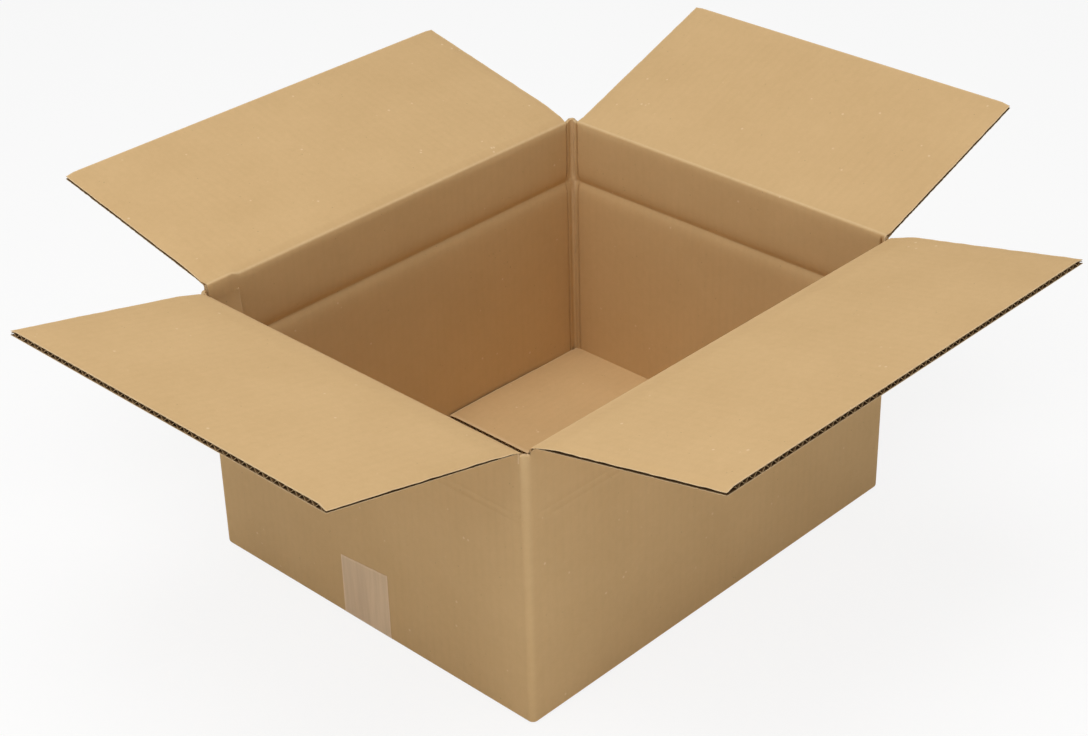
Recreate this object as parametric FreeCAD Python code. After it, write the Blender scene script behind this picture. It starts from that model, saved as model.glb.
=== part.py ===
# Open cardboard box: a regular slotted carton, folded from one sheet of single-wall
# corrugated board. Its four top flaps stand folded out, and its bottom flaps are closed
# and held by one strip of packing tape.
#
# Millimetres. +X runs along the length, +Y along the width and +Z up. The origin is the
# centre of the underside, on the surface that the box stands on. The front is the side
# of the short wall at -X and the long wall at -Y.

import FreeCAD, Part
import math
import os

Vector = FreeCAD.Vector

# Box
box_length = 400.0
box_width = 332.0
short_crease_height = 221.5
score_drop = 49.0
crest_rise = 3.0

# Board
board = 4.0
liner = 0.4
medium = 0.3
flute_pitch = 7.6
flute_crest = 1.6
flute_depth = 15.0
layer_gap = 0.3
cut_gap = 1.0

# Corners and creases
inner_corner_radius = 1.0
slot_clearance = 0.5
bottom_edge_radius = 3.0
crest_bevel = 1.2
nose_radius = 1.0
nose_clearance = 0.3
mitre_gap = 0.4
crushed_crease = 12.0
score_depth = 1.2
score_half_height = 2.2

# Folded bead in each inner corner
bead_radius = 3.0
bead_offset = 1.2
bead_bevel = 1.6
bead_top_gap = 0.5
groove_half_width = 0.9
groove_depth = 0.8
groove_distance = 5.6

# Glued joint
tab_reach = 33.5
tab_thickness = 3.0
tab_taper = 6.0
tab_corner = (-1, 1)

# Tape
tape_width = 50.0
tape_thickness = 0.12
tape_seat_gap = 0.03
tape_offset = 2.4
tape_rise = 54.0
tape_slant = 4.0

# Rest angle of each top flap above the horizontal, in degrees
short_front_angle = 12.6
long_front_angle = 12.2
long_back_angle = 12.0
short_back_angle = 19.0

# Sizes that follow from the ones above
corner_radius = board + inner_corner_radius
flap_inset = corner_radius + slot_clearance
flap_depth = box_width / 2 - cut_gap / 2
short_flap_width = box_width - 2 * flap_inset
long_flap_width = box_length - 2 * flap_inset
long_crease_height = short_crease_height + board + layer_gap
crown_base = short_crease_height - 2 * board
crest_height = short_crease_height + crest_rise
score_height = short_crease_height - score_drop
inner_flap_base = board + layer_gap
floor_height = inner_flap_base + board
bead_top = short_crease_height - board - bead_top_gap
mitre_setback = mitre_gap / math.sqrt(2)


def prism(points, path):
    """A straight prism: the closed outline through the points, carried along the path."""
    outline = Part.makePolygon([Vector(*point) for point in points + points[:1]])
    return Part.Face(outline).extrude(Vector(*path))


def centred_box(length, width, base, top):
    """A box centred on the Z axis between two heights."""
    corner = Vector(-length / 2, -width / 2, base)
    return Part.makeBox(length, width, top - base, corner)


def v_groove(start, outward, across, run, half_width, depth, past):
    """A cutter for a V groove in a flat face, from a start on the face along a run.

    It points outward into the board by the depth, and reaches past the face the other way.
    """
    side = across * half_width
    back = outward * -past
    points = [start + outward * depth, start + side, start + side + back]
    points += [start - side + back, start - side]
    return prism(points, run)


def upright_edges(shape):
    """The straight vertical edges of a shape."""
    return [
        edge
        for edge in shape.Edges
        if len(edge.Vertexes) == 2
        and abs(edge.Vertexes[0].X - edge.Vertexes[1].X) < 1e-6
        and abs(edge.Vertexes[0].Y - edge.Vertexes[1].Y) < 1e-6
    ]


def edges_at(shape, height):
    """The edges of a shape that lie flat at one height."""
    return [
        edge
        for edge in shape.Edges
        if abs(edge.BoundBox.ZMin - height) < 1e-6 and abs(edge.BoundBox.ZMax - height) < 1e-6
    ]


def rounded_block(length, width, radius, base, top):
    """A centred block with rounded upright corners."""
    block = centred_box(length, width, base, top)
    return block.makeFillet(radius, upright_edges(block))


# The medium is a wave with flat crests and slanted legs. The space under each crest is a
# trapezoid, and the space over each trough is the same one turned over.
def flute_half_widths():
    """Half widths of a flute's space: on its liner, and under the crest of the medium."""
    rise = board - 2 * liner - medium
    lean = (flute_pitch / 2 - flute_crest) / rise
    leg = medium * math.hypot(1.0, lean)
    wide = flute_crest / 2 + (rise + medium / 2) * lean - leg / 2
    narrow = flute_crest / 2 + medium / 2 * lean - leg / 2
    return wide, narrow


def flute_mouths(width, open_side):
    """Blind flute mouths in a free edge at x=0, cut along -X into a sheet at z=0 to board.

    open_side is 1 or -1 where a flute lies cut open along that side, and 0 where none does.
    """
    wide, narrow = flute_half_widths()
    low = liner
    high = board - liner - medium
    end_wall = 2 * liner
    reach_low = width / 2 - wide - end_wall - (flute_pitch / 2 if open_side < 0 else 0.0)
    reach_high = width / 2 - wide - end_wall - (flute_pitch / 2 if open_side > 0 else 0.0)
    first = -int(reach_low // (flute_pitch / 2))
    last = int(reach_high // (flute_pitch / 2))
    mouths = []
    for index in range(first, last + 1):
        y = index * flute_pitch / 2
        if index % 2 == 0:
            z_wide, z_narrow = low, high
        else:
            z_wide, z_narrow = board - low, board - high
        points = [(0, y - wide, z_wide), (0, y + wide, z_wide)]
        points += [(0, y + narrow, z_narrow), (0, y - narrow, z_narrow)]
        mouths.append(prism(points, (-flute_depth, 0, 0)))
    return Part.makeCompound(mouths)


def side_flute(width, depth, open_side):
    """The half flute that lies open along one side of a flap, from its crease to its edge."""
    wide, narrow = flute_half_widths()
    edge = open_side * width / 2
    inner_wide = open_side * (width / 2 - wide)
    inner_narrow = open_side * (width / 2 - narrow)
    high = board - liner - medium
    points = [(depth, edge, liner), (depth, inner_wide, liner)]
    points += [(depth, inner_narrow, high), (depth, edge, high)]
    return prism(points, (crushed_crease - depth, 0, 0))


def top_flap(width, open_side):
    """A top flap in its own frame: the crease is the Y axis, +X leads to the free edge.

    The outer face lies at z=0 and the inner face at z=board. The hinge edge is crushed to
    a mitre, with a round nose on the crease.
    """
    section = [(mitre_setback, -width / 2, 0), (flap_depth, -width / 2, 0)]
    section += [(flap_depth, -width / 2, board), (board + mitre_setback, -width / 2, board)]
    sheet = prism(section, (0, width, 0))
    nose = Part.makeCylinder(nose_radius, width, Vector(0, -width / 2, 0), Vector(0, 1, 0))
    mouths = flute_mouths(width, open_side)
    mouths.translate(Vector(flap_depth, 0, 0))
    flap = sheet.fuse(nose).cut(mouths)
    if open_side:
        flap = flap.cut(side_flute(width, flap_depth, open_side))
    return flap.removeSplitter()


def crown(length, crease_height):
    """The top strip of a wall in its crease's frame, with the seat of the flap's nose."""
    base = crown_base - crease_height
    section = [(0, -length / 2, base), (0, -length / 2, -mitre_setback)]
    section += [(-board, -length / 2, -board - mitre_setback), (-board, -length / 2, base)]
    strip = prism(section, (0, length, 0))
    start = Vector(0, -length / 2, 0)
    seat = Part.makeCylinder(nose_radius + nose_clearance, length, start, Vector(0, 1, 0))
    return strip.cut(seat)


def corner_post():
    """The bevelled crest that stands between two flaps, turned about its corner's centre."""
    height = crest_height - crown_base
    section = [(inner_corner_radius, 0, 0), (corner_radius, 0, 0)]
    section += [(corner_radius, 0, height - crest_bevel), (corner_radius - crest_bevel, 0, height)]
    section += [(inner_corner_radius + crest_bevel, 0, height)]
    section += [(inner_corner_radius, 0, height - crest_bevel)]
    face = Part.Face(Part.makePolygon([Vector(*point) for point in section + section[:1]]))
    return face.revolve(Vector(), Vector(0, 0, 1), 90)


def placed(shape, bearing, distance, height):
    """A shape turned from +X to the bearing, and moved out along it and up."""
    turned = shape.copy()
    turned.rotate(Vector(), Vector(0, 0, 1), bearing)
    angle = math.radians(bearing)
    turned.translate(Vector(distance * math.cos(angle), distance * math.sin(angle), height))
    return turned


def wall_crowns():
    """The top strips of the four walls, two at each crease height."""
    short_crown = crown(box_width - 2 * corner_radius, short_crease_height)
    long_crown = crown(box_length - 2 * corner_radius, long_crease_height)
    crowns = []
    for bearing in (0, 180):
        crowns.append(placed(short_crown, bearing, box_length / 2, short_crease_height))
    for bearing in (90, 270):
        crowns.append(placed(long_crown, bearing, box_width / 2, long_crease_height))
    return crowns


def corner_posts():
    """The four crests, one on each corner."""
    posts = []
    for quarter, (x_side, y_side) in enumerate(((1, 1), (-1, 1), (-1, -1), (1, -1))):
        post = corner_post()
        post.rotate(Vector(), Vector(0, 0, 1), 90 * quarter)
        x = x_side * (box_length / 2 - corner_radius)
        y = y_side * (box_width / 2 - corner_radius)
        post.translate(Vector(x, y, crown_base))
        posts.append(post)
    return posts


def wall_ring():
    """The four walls up to their crowns, with rounded corners and bottom creases."""
    outer = rounded_block(box_length, box_width, corner_radius, 0, crown_base)
    outer = outer.makeFillet(bottom_edge_radius, edges_at(outer, 0))
    inner_length = box_length - 2 * board
    inner_width = box_width - 2 * board
    inner = rounded_block(inner_length, inner_width, inner_corner_radius, -board, crown_base + board)
    return outer.cut(inner)


def corner_faces(x_side, y_side):
    """Distances from the axes to the two inner faces that meet in a corner."""
    y_face = box_width / 2 - board
    if (x_side, y_side) == tab_corner:
        y_face -= tab_thickness
    return box_length / 2 - board, y_face


def corner_bead(x_side, y_side):
    """The bead of crushed board up one inner corner, with a bevelled end."""
    x_face, y_face = corner_faces(x_side, y_side)
    foot = Vector(x_side * (x_face - bead_offset), y_side * (y_face - bead_offset), inner_flap_base)
    height = bead_top - bead_bevel - inner_flap_base
    bead = Part.makeCylinder(bead_radius, height, foot)
    end = Part.makeCone(bead_radius, bead_radius - bead_bevel, bead_bevel, foot + Vector(0, 0, height))
    return bead.fuse(end)


def corner_grooves(x_side, y_side):
    """The upright grooves pressed beside one corner bead. The glued tab covers one of them."""
    x_face, y_face = corner_faces(x_side, y_side)
    to_x, to_y = Vector(x_side, 0, 0), Vector(0, y_side, 0)
    run = Vector(0, 0, crown_base - floor_height)
    size = (groove_half_width, groove_depth, board)
    start = Vector(x_side * x_face, y_side * (y_face - groove_distance), floor_height)
    grooves = [v_groove(start, to_x, to_y, run, *size)]
    if (x_side, y_side) != tab_corner:
        start = Vector(x_side * (x_face - groove_distance), y_side * y_face, floor_height)
        grooves.append(v_groove(start, to_y, to_x, run, *size))
    return grooves


def score_grooves():
    """The height score round the four inner faces, which pinches the corner beads."""
    up = Vector(0, 0, 1)
    x_face = box_length / 2 - board
    y_face = box_width / 2 - board
    size = (score_half_height, score_depth, bead_offset + bead_radius + board)
    cuts = []
    for side in (-1, 1):
        start = Vector(side * x_face, -y_face, score_height)
        cuts.append(v_groove(start, Vector(side, 0, 0), up, Vector(0, 2 * y_face, 0), *size))
        start = Vector(-x_face, side * y_face, score_height)
        cuts.append(v_groove(start, Vector(0, side, 0), up, Vector(2 * x_face, 0, 0), *size))
    return cuts


def glue_tab():
    """The tab of the front short wall, glued inside the back long wall.

    Its root and its back lie half a board's thickness inside the walls that carry it.
    """
    near = -box_length / 2 + board / 2
    far = -box_length / 2 + tab_reach
    back = box_width / 2 - board / 2
    face = box_width / 2 - board - tab_thickness
    foot = floor_height + layer_gap
    outline = [(near, back, foot), (far, back, foot + tab_taper)]
    outline += [(far, back, bead_top - tab_taper), (near, back, bead_top)]
    tab = prism(outline, (0, face - back, 0))
    start = Vector(-box_length / 2 + board, face, score_height)
    run = Vector(tab_reach, 0, 0)
    size = (score_half_height, score_depth, board)
    return tab.cut(v_groove(start, Vector(0, 1, 0), Vector(0, 0, 1), run, *size))


def outer_bottom_flap(side):
    """A long wall's bottom flap, which lies on the ground up to the middle seam."""
    depth = box_width / 2 - board / 2 - cut_gap / 2
    start = cut_gap / 2 if side > 0 else -cut_gap / 2 - depth
    corner = Vector(-long_flap_width / 2, start, 0)
    return Part.makeBox(long_flap_width, depth, board, corner)


def inner_bottom_flap(bearing):
    """A short wall's bottom flap, which lies on the outer ones and ends in open flutes."""
    root = board / 2
    sheet = Part.makeBox(flap_depth - root, short_flap_width, board, Vector(root, -short_flap_width / 2, 0))
    mouths = flute_mouths(short_flap_width, 0)
    mouths.translate(Vector(flap_depth, 0, 0))
    flap = sheet.cut(mouths)
    flap.translate(Vector(-box_length / 2, 0, 0))
    return placed(flap, bearing, 0, inner_flap_base)


def cradle(inset, width):
    """The box's lower part taken in by an inset at the ends and below, centred on Y=0."""
    length = box_length - 2 * inset
    block = centred_box(length, width, inset, short_crease_height)
    ends = [
        edge
        for edge in edges_at(block, inset)
        if abs(edge.BoundBox.XMin - edge.BoundBox.XMax) < 1e-6
    ]
    return block.makeFillet(bottom_edge_radius - inset, ends)


def tape_band(width, rise, slant, inset):
    """The outer skin of the box's ends and underside within the tape's outline.

    The two ends are cut at a slant: their height falls by the slant from +Y to -Y.
    """
    half = width / 2
    past = box_length / 2 + board
    outline = [(-past, -half, -board), (-past, half, -board), (-past, half, rise)]
    outline += [(-past, -half, rise + slant)]
    band = prism(outline, (2 * past, 0, 0))
    skin = cradle(0, width).cut(cradle(inset, 2 * width))
    return skin.common(band)


def tape():
    """The strip that holds the bottom seam and runs up both short walls."""
    strip = tape_band(tape_width, tape_rise, tape_slant, tape_thickness)
    strip.translate(Vector(0, tape_offset, 0))
    return strip


def tape_seat():
    """The shallow seat of the tape in the box, which leaves the tape flush."""
    seat = tape_band(
        tape_width + 2 * tape_seat_gap,
        tape_rise + tape_seat_gap,
        tape_slant,
        tape_thickness + tape_seat_gap,
    )
    seat.translate(Vector(0, tape_offset, 0))
    return seat


def box_body():
    """The folded sheet without its top flaps: walls, glued tab and closed bottom."""
    corners = [(x_side, y_side) for x_side in (-1, 1) for y_side in (-1, 1)]
    shell = wall_ring().fuse([corner_bead(*corner) for corner in corners])
    grooves = [groove for corner in corners for groove in corner_grooves(*corner)]
    shell = shell.cut(grooves + score_grooves())
    additions = [glue_tab()] + wall_crowns() + corner_posts()
    additions += [outer_bottom_flap(side) for side in (-1, 1)]
    additions += [inner_bottom_flap(bearing) for bearing in (0, 180)]
    return shell.fuse(additions).cut(tape_seat()).removeSplitter()


# Each top flap: node name, bearing, width, rest angle and the side with an open flute
top_flaps = (
    ("short_flap_back", 0, short_flap_width, short_back_angle, -1),
    ("long_flap_back", 90, long_flap_width, long_back_angle, 1),
    ("short_flap_front", 180, short_flap_width, short_front_angle, 0),
    ("long_flap_front", 270, long_flap_width, long_front_angle, -1),
)


def build():
    """Every node of the box by name."""
    nodes = {"box_body": box_body(), "bottom_tape": tape()}
    for name, bearing, width, angle, open_side in top_flaps:
        flap = top_flap(width, open_side)
        flap.rotate(Vector(), Vector(0, 1, 0), -angle)
        if bearing % 180 == 0:
            distance, height = box_length / 2, short_crease_height
        else:
            distance, height = box_width / 2, long_crease_height
        nodes[name] = placed(flap, bearing, distance, height)
    return nodes


def export(nodes):
    """Write one STEP file for each node, and print its solids, validity and volume."""
    os.makedirs("parts", exist_ok=True)
    for name, shape in nodes.items():
        shape.exportStep(os.path.join("parts", name + ".step"))
        volume = shape.Volume / 1000.0
        print(name, "solids", len(shape.Solids), "valid", shape.isValid(), "cm3", round(volume, 2))


export(build())
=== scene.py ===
"""Open cardboard box: the looks of a folded, taped carton with its top flaps out.

Shapes are worked out in millimetres and turned to metres as they enter a mesh. The box
stands on the origin, with +X along its length, +Y along its width and +Z up.
"""

import logging
import math
from dataclasses import dataclass, field
from enum import Enum

import bpy
import numpy as np
from mathutils import Matrix, Vector


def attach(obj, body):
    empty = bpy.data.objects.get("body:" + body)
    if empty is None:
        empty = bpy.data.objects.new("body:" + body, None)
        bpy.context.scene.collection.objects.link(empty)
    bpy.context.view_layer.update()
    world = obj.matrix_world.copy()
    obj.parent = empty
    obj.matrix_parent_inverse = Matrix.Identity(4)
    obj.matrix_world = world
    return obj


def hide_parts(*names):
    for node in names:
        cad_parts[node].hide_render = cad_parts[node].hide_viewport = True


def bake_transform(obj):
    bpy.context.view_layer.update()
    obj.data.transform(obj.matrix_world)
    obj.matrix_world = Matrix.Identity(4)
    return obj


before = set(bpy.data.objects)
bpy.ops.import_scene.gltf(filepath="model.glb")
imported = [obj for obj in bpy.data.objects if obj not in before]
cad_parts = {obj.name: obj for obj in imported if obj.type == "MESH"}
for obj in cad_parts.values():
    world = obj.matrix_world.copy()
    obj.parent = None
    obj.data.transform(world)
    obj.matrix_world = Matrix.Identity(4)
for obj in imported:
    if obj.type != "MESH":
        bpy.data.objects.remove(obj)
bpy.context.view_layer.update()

log = logging.getLogger("cardboard_box")

Colour = tuple[float, float, float]
Array = np.ndarray

MM = 0.001


class Slot(Enum):
    """The finishes of a piece of board, in the order of its material slots."""

    LINER = 0
    # The fluting paper's finish, darker than the paper itself as painted shade inside the flutes.
    MEDIUM = 1
    CUT = 2


class SideCut(Enum):
    """How the side of a flap was cut through its flutes."""

    CLEAN = "clean"
    OPEN = "open flute"
    CRUSHED = "crushed"


@dataclass(frozen=True)
class BoardStock:
    """Sizes of the corrugated board in millimetres."""

    thickness: float = 4.0
    liner: float = 0.4
    medium: float = 0.28
    pitch: float = 7.6


@dataclass(frozen=True)
class BoxSizes:
    """Sizes of the folded box in millimetres."""

    length: float = 400.0
    width: float = 332.0
    short_crease: float = 221.5
    long_crease: float = 225.8
    rim_base: float = 213.5
    flap_depth: float = 165.5
    flap_inset: float = 5.5
    insets: tuple[tuple[float, float], ...] = ((5.5, 9.5), (9.5, 5.5), (5.5, 5.5), (5.5, 5.5))
    corner_radius: float = 5.0
    inner_radius: float = 1.0
    bottom_radius: float = 3.0
    score: float = 169.2
    crests: tuple[float, ...] = (225.8, 222.2, 220.7, 221.8)
    shoulders: tuple[float, ...] = (3.0, 1.2, 0.8, 1.2)
    floor: float = 8.3
    underside: float = 0.15
    tab_reach: float = 33.5
    tab_thickness: float = 3.0
    tab_lean: float = 1.7


@dataclass(frozen=True)
class Pressing:
    """Sizes of what the creasing wheels pressed into the inner faces, in millimetres."""

    groove_depth: float = 3.2
    groove_place: float = 5.4
    groove_half_width: float = 0.75
    corner_fall: float = 1.4
    score_depth: float = 3.0
    score_fade: float = 4.7
    score_tip: float = 0.8
    ridge_height: float = 0.3
    ridge_place: float = 3.2
    ridge_half_width: float = 1.3
    # Place and half width of a painted highlight stripe beside the inner corners, and the fall reach
    # below which a corner gets it; this stripe is painted, not pressed.
    bead_highlight_place: float = 1.9
    bead_highlight_half_width: float = 0.9
    highlighted_reach: float = 4.0


@dataclass(frozen=True)
class CutForm:
    """How the board's cut sides and free edges look, in millimetres."""

    squeezed_from: float = 0.5
    squeezed_to: float = 8.0
    crease_fade: float = 24.0
    inner_fray: float = 0.16
    outer_fray: float = 0.42
    fray_reach: float = 2.4
    rubbed_width: float = 1.3
    paler_share: float = 0.65
    wave_points: int = 14


@dataclass(frozen=True)
class CreaseForm:
    """Sizes of the pinched board at a top flap's crease, in millimetres."""

    corner_inset: float = 3.0
    lean_height: float = 11.0
    lean: tuple[float, float] = (0.25, 0.968)
    rounding: float = 1.3
    least_climb: float = 0.6
    tab_corner: tuple[float, float] = (-1.3, 3.6)
    tab_gap: float = 0.1
    joined_to: float = 0.4
    open_from: float = 0.7
    # Paleness along the fold's inner corner: rubbed paper and painted highlight.
    paler_share: float = 0.3
    blend_reach: tuple[float, float] = (-4.0, 2.9)


STOCK = BoardStock()
SIZES = BoxSizes()
PRESS = Pressing()
CUT = CutForm()
CREASE = CreaseForm()

# The fine stretch beside a corner or a flap's side, its step, and the step between.
SIDE_STEPS = (9.0, 0.35, 7.0)

# The share of the thickness that each kind of cut takes, and where the medium ends beside it.
CUT_SQUEEZE = {SideCut.CLEAN: 0.25, SideCut.OPEN: 0.4, SideCut.CRUSHED: 0.6}
CUT_RECESS = {SideCut.CLEAN: 0.35, SideCut.OPEN: 8.4, SideCut.CRUSHED: 1.6}


def smooth_noise(x: Array, y: Array, seed: int, length: float) -> Array:
    """Soft noise of about -1 to 1.

    It is the mean of sixteen sine waves, each with a seeded heading, phase and wavelength
    near the given length.

    Args:
        x: First coordinate of every point.
        y: Second coordinate of every point.
        seed: Number that fixes the waves.
        length: Typical wavelength, in the unit of x and y.

    Returns:
        One value for each point.
    """
    rng = np.random.default_rng(seed)
    heading = rng.uniform(0.0, 2.0 * math.pi, 16)
    wave = 2.0 * math.pi / length * rng.uniform(0.6, 1.9, 16)
    phase = rng.uniform(0.0, 2.0 * math.pi, 16)
    x, y = np.broadcast_arrays(np.asarray(x, float), np.asarray(y, float))
    along = x[..., None] * np.cos(heading) + y[..., None] * np.sin(heading)
    return np.sin(along * wave + phase).mean(-1) * 2.2


def bell(x: Array, centre: float, half_width: float) -> Array:
    """A bell of height 1: e to the minus squared distance from its centre in half widths."""
    return np.exp(-(((x - centre) / half_width) ** 2))


def ease(x: Array, low: float, high: float) -> Array:
    """A smooth step: 0 below low, 1 above high, and 3t squared less 2t cubed between."""
    t = np.clip((x - low) / (high - low), 0.0, 1.0)
    return t * t * (3.0 - 2.0 * t)


def bezier(p0: Array, p1: Array, p2: Array, p3: Array, t: Array) -> Array:
    """A cubic Bezier curve in a plane: the four points weighed by powers of t and 1 - t.

    Args:
        p0: Start.
        p1: Control point of the start.
        p2: Control point of the end.
        p3: End.
        t: Places along the curve from 0 to 1.

    Returns:
        One point for each place.
    """
    s = 1.0 - t
    weights = np.stack([s**3, 3 * s * s * t, 3 * s * t * t, t**3], -1)
    return weights @ np.array([p0, p1, p2, p3], float)


def stations(low: float, high: float, dense: float, fine: float, coarse: float) -> Array:
    """Places from low to high, fine within the dense reach of both ends and coarse between.

    Args:
        low: First place.
        high: Last place.
        dense: Length of each fine stretch.
        fine: Step of the fine stretches.
        coarse: Rough step between them.

    Returns:
        The places in rising order.
    """
    start, end = np.arange(0.0, dense, fine), np.arange(0.0, dense, fine)
    middle = np.linspace(low + dense, high - dense, int((high - low - 2 * dense) / coarse))
    return np.concatenate([low + start, middle, (high - end)[::-1]])


def turned(bearing: int, radial: Array, tangential: Array) -> tuple[Array, Array]:
    """World x and y of a place given outwards along a bearing and to the left of it.

    Args:
        bearing: Degrees from +X, a whole number of quarter turns.
        radial: Distances outwards along the bearing.
        tangential: Distances to the left of the bearing.

    Returns:
        The x and the y values.
    """
    cosine, sine = {0: (1, 0), 90: (0, 1), 180: (-1, 0), 270: (0, -1)}[bearing]
    return radial * cosine - tangential * sine, radial * sine + tangential * cosine


@dataclass
class Shells:
    """Closed sheets gathered into the mesh of one piece."""

    points: list[Array] = field(default_factory=list)
    faces: list[Array] = field(default_factory=list)
    slots: list[Array] = field(default_factory=list)
    places: list[Array] = field(default_factory=list)
    worn: list[Array] = field(default_factory=list)
    count: int = 0

    def slab(
        self,
        upper: Array,
        lower: Array,
        place: Array,
        worn: Array,
        finish: tuple[Slot, Slot, Slot] = (Slot.LINER, Slot.LINER, Slot.CUT),
        ring: bool = False,
    ) -> None:
        """Add a closed sheet: two grids of points, and a band of faces round their borders.

        The winding is reversed where the signed volume comes out negative.

        Args:
            upper: Points of one face, rows by columns by 3, in millimetres.
            lower: Points of the other face, in the same shape.
            place: Position across and along the flutes, rows by columns by 2.
            worn: Wear from 0 to 1, rows by columns, or two such grids for the two faces.
            finish: Finishes of the first face, the second face and the band.
            ring: Whether the last column joins the first, so that only two borders are left.
        """
        rows, columns = upper.shape[:2]
        index = np.arange(rows * columns).reshape(rows, columns)
        if ring:
            index = np.concatenate([index, index[:, :1]], axis=1)
        corners = [index[:-1, :-1], index[1:, :-1], index[1:, 1:], index[:-1, 1:]]
        top = np.stack(corners, -1).reshape(-1, 4)
        step = rows * columns
        if ring:
            loops = [index[0], index[-1, ::-1]]
        else:
            border = [index[0, :-1], index[:-1, -1], index[-1, :0:-1], index[:0:-1, 0]]
            border = np.concatenate(border)
            loops = [np.append(border, border[0])]
        bands = [np.stack([b[:-1], b[1:], b[1:] + step, b[:-1] + step], -1) for b in loops]
        band = np.concatenate(bands)
        faces = np.concatenate([top, top[:, ::-1] + step, band])
        points = np.concatenate([upper.reshape(-1, 3), lower.reshape(-1, 3)])
        a, b, c, d = (points[faces[:, k]] for k in range(4))
        volume = (np.cross(a, b) * c).sum() + (np.cross(a, c) * d).sum()
        if volume < 0:
            faces = faces[:, ::-1]
        slots = np.repeat([slot.value for slot in finish], [len(top), len(top), len(band)])
        self.points.append(points)
        self.faces.append(faces + self.count)
        self.slots.append(slots)
        self.places.append(np.concatenate([place.reshape(-1, 2)] * 2))
        self.worn.append(np.broadcast_to(worn, (2, rows, columns)).ravel())
        self.count += len(points)

    def piece(self, name: str, materials: list[bpy.types.Material]) -> bpy.types.Object:
        """Turn the gathered sheets into one object at the origin.

        Args:
            name: Name of the piece.
            materials: Its finishes, in the order of Slot.

        Returns:
            The new object, linked to the scene.
        """
        points = np.concatenate(self.points) * MM
        faces = np.concatenate(self.faces)
        mesh = bpy.data.meshes.new(name)
        mesh.vertices.add(len(points))
        mesh.vertices.foreach_set("co", points.astype(np.float32).ravel())
        mesh.loops.add(faces.size)
        mesh.loops.foreach_set("vertex_index", faces.astype(np.int32).ravel())
        mesh.polygons.add(len(faces))
        mesh.polygons.foreach_set("loop_start", np.arange(0, faces.size, 4, dtype=np.int32))
        mesh.polygons.foreach_set("material_index", np.concatenate(self.slots).astype(np.int32))
        mesh.update(calc_edges=True)
        place = np.zeros((len(points), 3), np.float32)
        place[:, :2] = np.concatenate(self.places) * MM
        attribute = mesh.attributes.new("flute_place", "FLOAT_VECTOR", "POINT")
        attribute.data.foreach_set("vector", place.ravel())
        # The worn attribute holds rubbed paper and painted highlights on the board, and the denser
        # borders on the tape.
        attribute = mesh.attributes.new("worn", "FLOAT", "POINT")
        attribute.data.foreach_set("value", np.concatenate(self.worn).astype(np.float32))
        mesh.shade_smooth()
        mesh.set_sharp_from_angle(angle=math.radians(38.0))
        for material in materials:
            mesh.materials.append(material)
        piece = bpy.data.objects.new(name, mesh)
        bpy.context.scene.collection.objects.link(piece)
        return piece


class Tree:
    """A short way to place and join shader nodes in one tree."""

    def __init__(self, tree: bpy.types.NodeTree) -> None:
        """Keep the tree."""
        self.tree = tree

    def node(self, kind: str, inputs: dict | None = None, **settings: object) -> bpy.types.Node:
        """Place one node.

        Args:
            kind: The node's type.
            inputs: Values or sockets for its inputs, by name or number.
            settings: The node's own properties.

        Returns:
            The new node.
        """
        node = self.tree.nodes.new(kind)
        for key, value in settings.items():
            setattr(node, key, value)
        for key, value in (inputs or {}).items():
            if isinstance(value, bpy.types.NodeSocket):
                self.tree.links.new(value, node.inputs[key])
            else:
                node.inputs[key].default_value = value
        return node

    def math(
        self, operation: str, a: object, b: object = 0.0, clamp: bool = False
    ) -> bpy.types.NodeSocket:
        """The result of one sum on two values or sockets."""
        return self.node("ShaderNodeMath", {0: a, 1: b}, operation=operation, use_clamp=clamp).outputs[0]

    def fit(
        self, value: object, low: float, high: float, to_low: float = 0.0, to_high: float = 1.0
    ) -> bpy.types.NodeSocket:
        """A value carried from one range to another and held inside it."""
        inputs = {"Value": value, "From Min": low, "From Max": high, "To Min": to_low, "To Max": to_high}
        return self.node("ShaderNodeMapRange", inputs, clamp=True).outputs["Result"]

    def mix(self, factor: object, a: object, b: object) -> bpy.types.NodeSocket:
        """Mix two colours.

        Args:
            factor: 0 for the first colour and 1 for the second, or a socket.
            a: First colour, or a socket.
            b: Second colour, or a socket.

        Returns:
            The mixed colour.
        """
        node = self.node("ShaderNodeMix", data_type="RGBA", clamp_factor=True)
        for key, value in ((0, factor), (6, a), (7, b)):
            if isinstance(value, bpy.types.NodeSocket):
                self.tree.links.new(value, node.inputs[key])
            else:
                node.inputs[key].default_value = (*value, 1.0) if key else value
        return node.outputs[2]

    def noise(
        self, place: object, scale: float, detail: float = 2.0, rough: float = 0.5
    ) -> bpy.types.NodeSocket:
        """Noise of about 0 to 1 at a place."""
        inputs = {"Vector": place, "Scale": scale, "Detail": detail, "Roughness": rough}
        return self.node("ShaderNodeTexNoise", inputs).outputs["Fac"]

    def stretched(self, place: object, scale: Colour) -> bpy.types.NodeSocket:
        """A place with each of its axes scaled by its own number."""
        return self.node("ShaderNodeMapping", {"Vector": place, "Scale": scale}).outputs["Vector"]


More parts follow.
